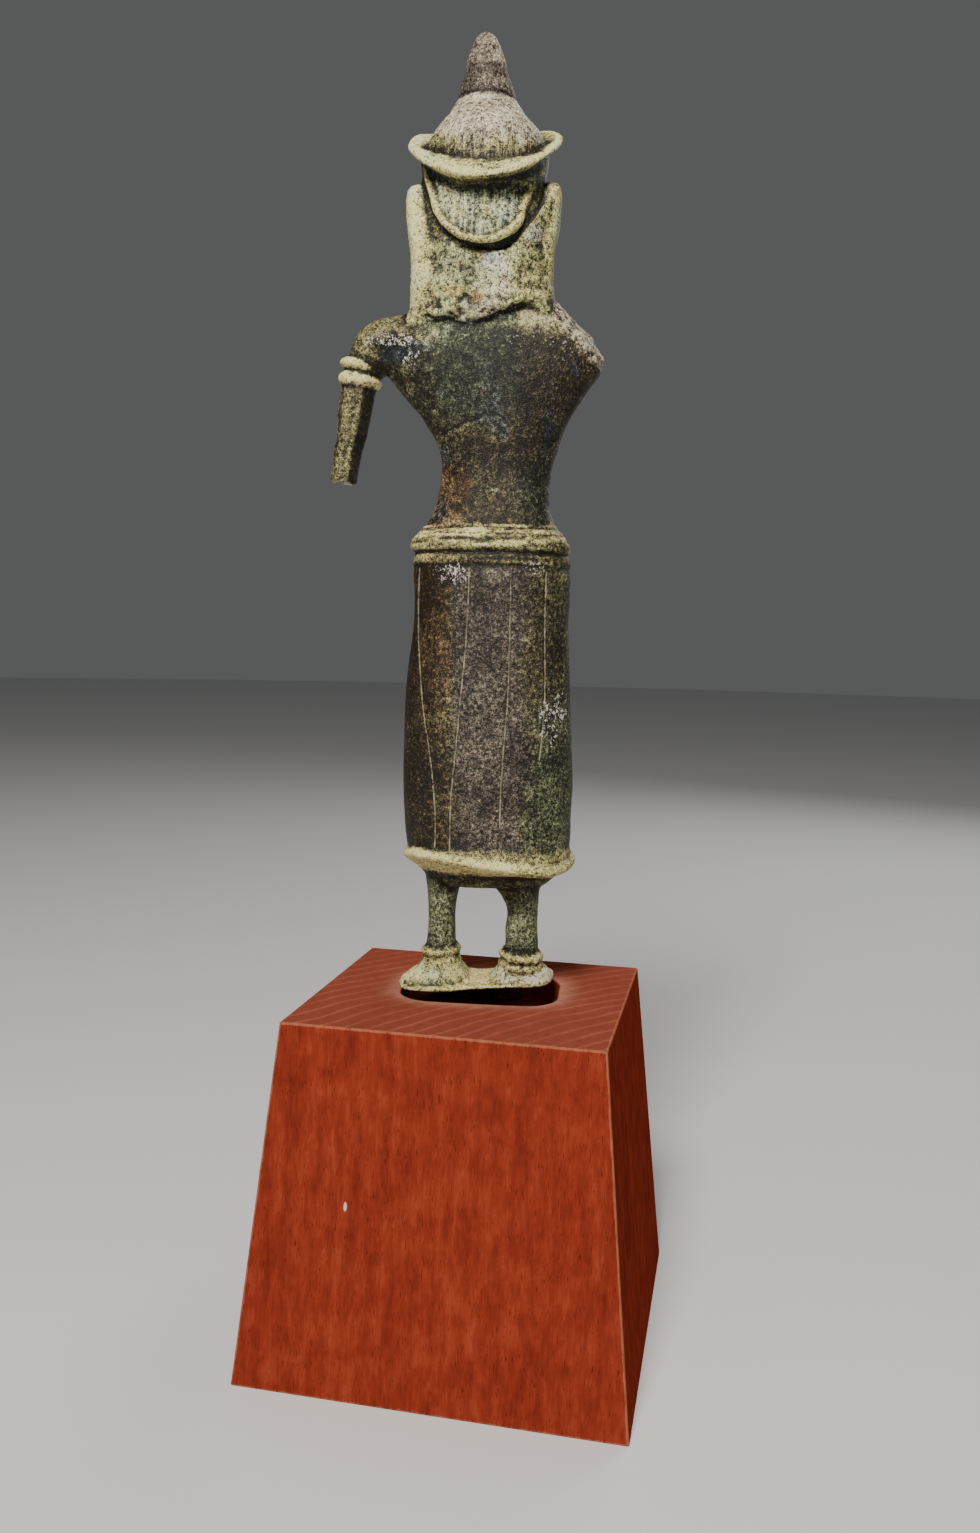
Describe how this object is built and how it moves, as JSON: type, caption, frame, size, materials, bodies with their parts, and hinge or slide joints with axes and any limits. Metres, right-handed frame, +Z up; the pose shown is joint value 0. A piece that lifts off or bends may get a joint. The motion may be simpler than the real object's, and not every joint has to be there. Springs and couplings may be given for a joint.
{
  "type": "bronze deity statue",
  "caption": "Small standing bronze deity with a tall topknot, flared diadem, long wrapped skirt and broken arms, on a tapered hardwood block.",
  "frame": {"origin": "centre of the hardwood block's underside", "axes": "+Z up the standing figure; -Y is the way the figure and the block's front face; +X is the figure's left"},
  "size_m": [0.0916, 0.087, 0.311],
  "materials": {
    "patinated_bronze": "old bronze, matt olive, brown and grey-green patina with pale mineral crust on the raised edges",
    "red_hardwood": "fine-grained reddish hardwood, satin, sharp worn edges"
  },
  "bodies": {
    "root": {"bronze_figure": "patinated_bronze", "wooden_base": "red_hardwood"}
  },
  "joints": []
}
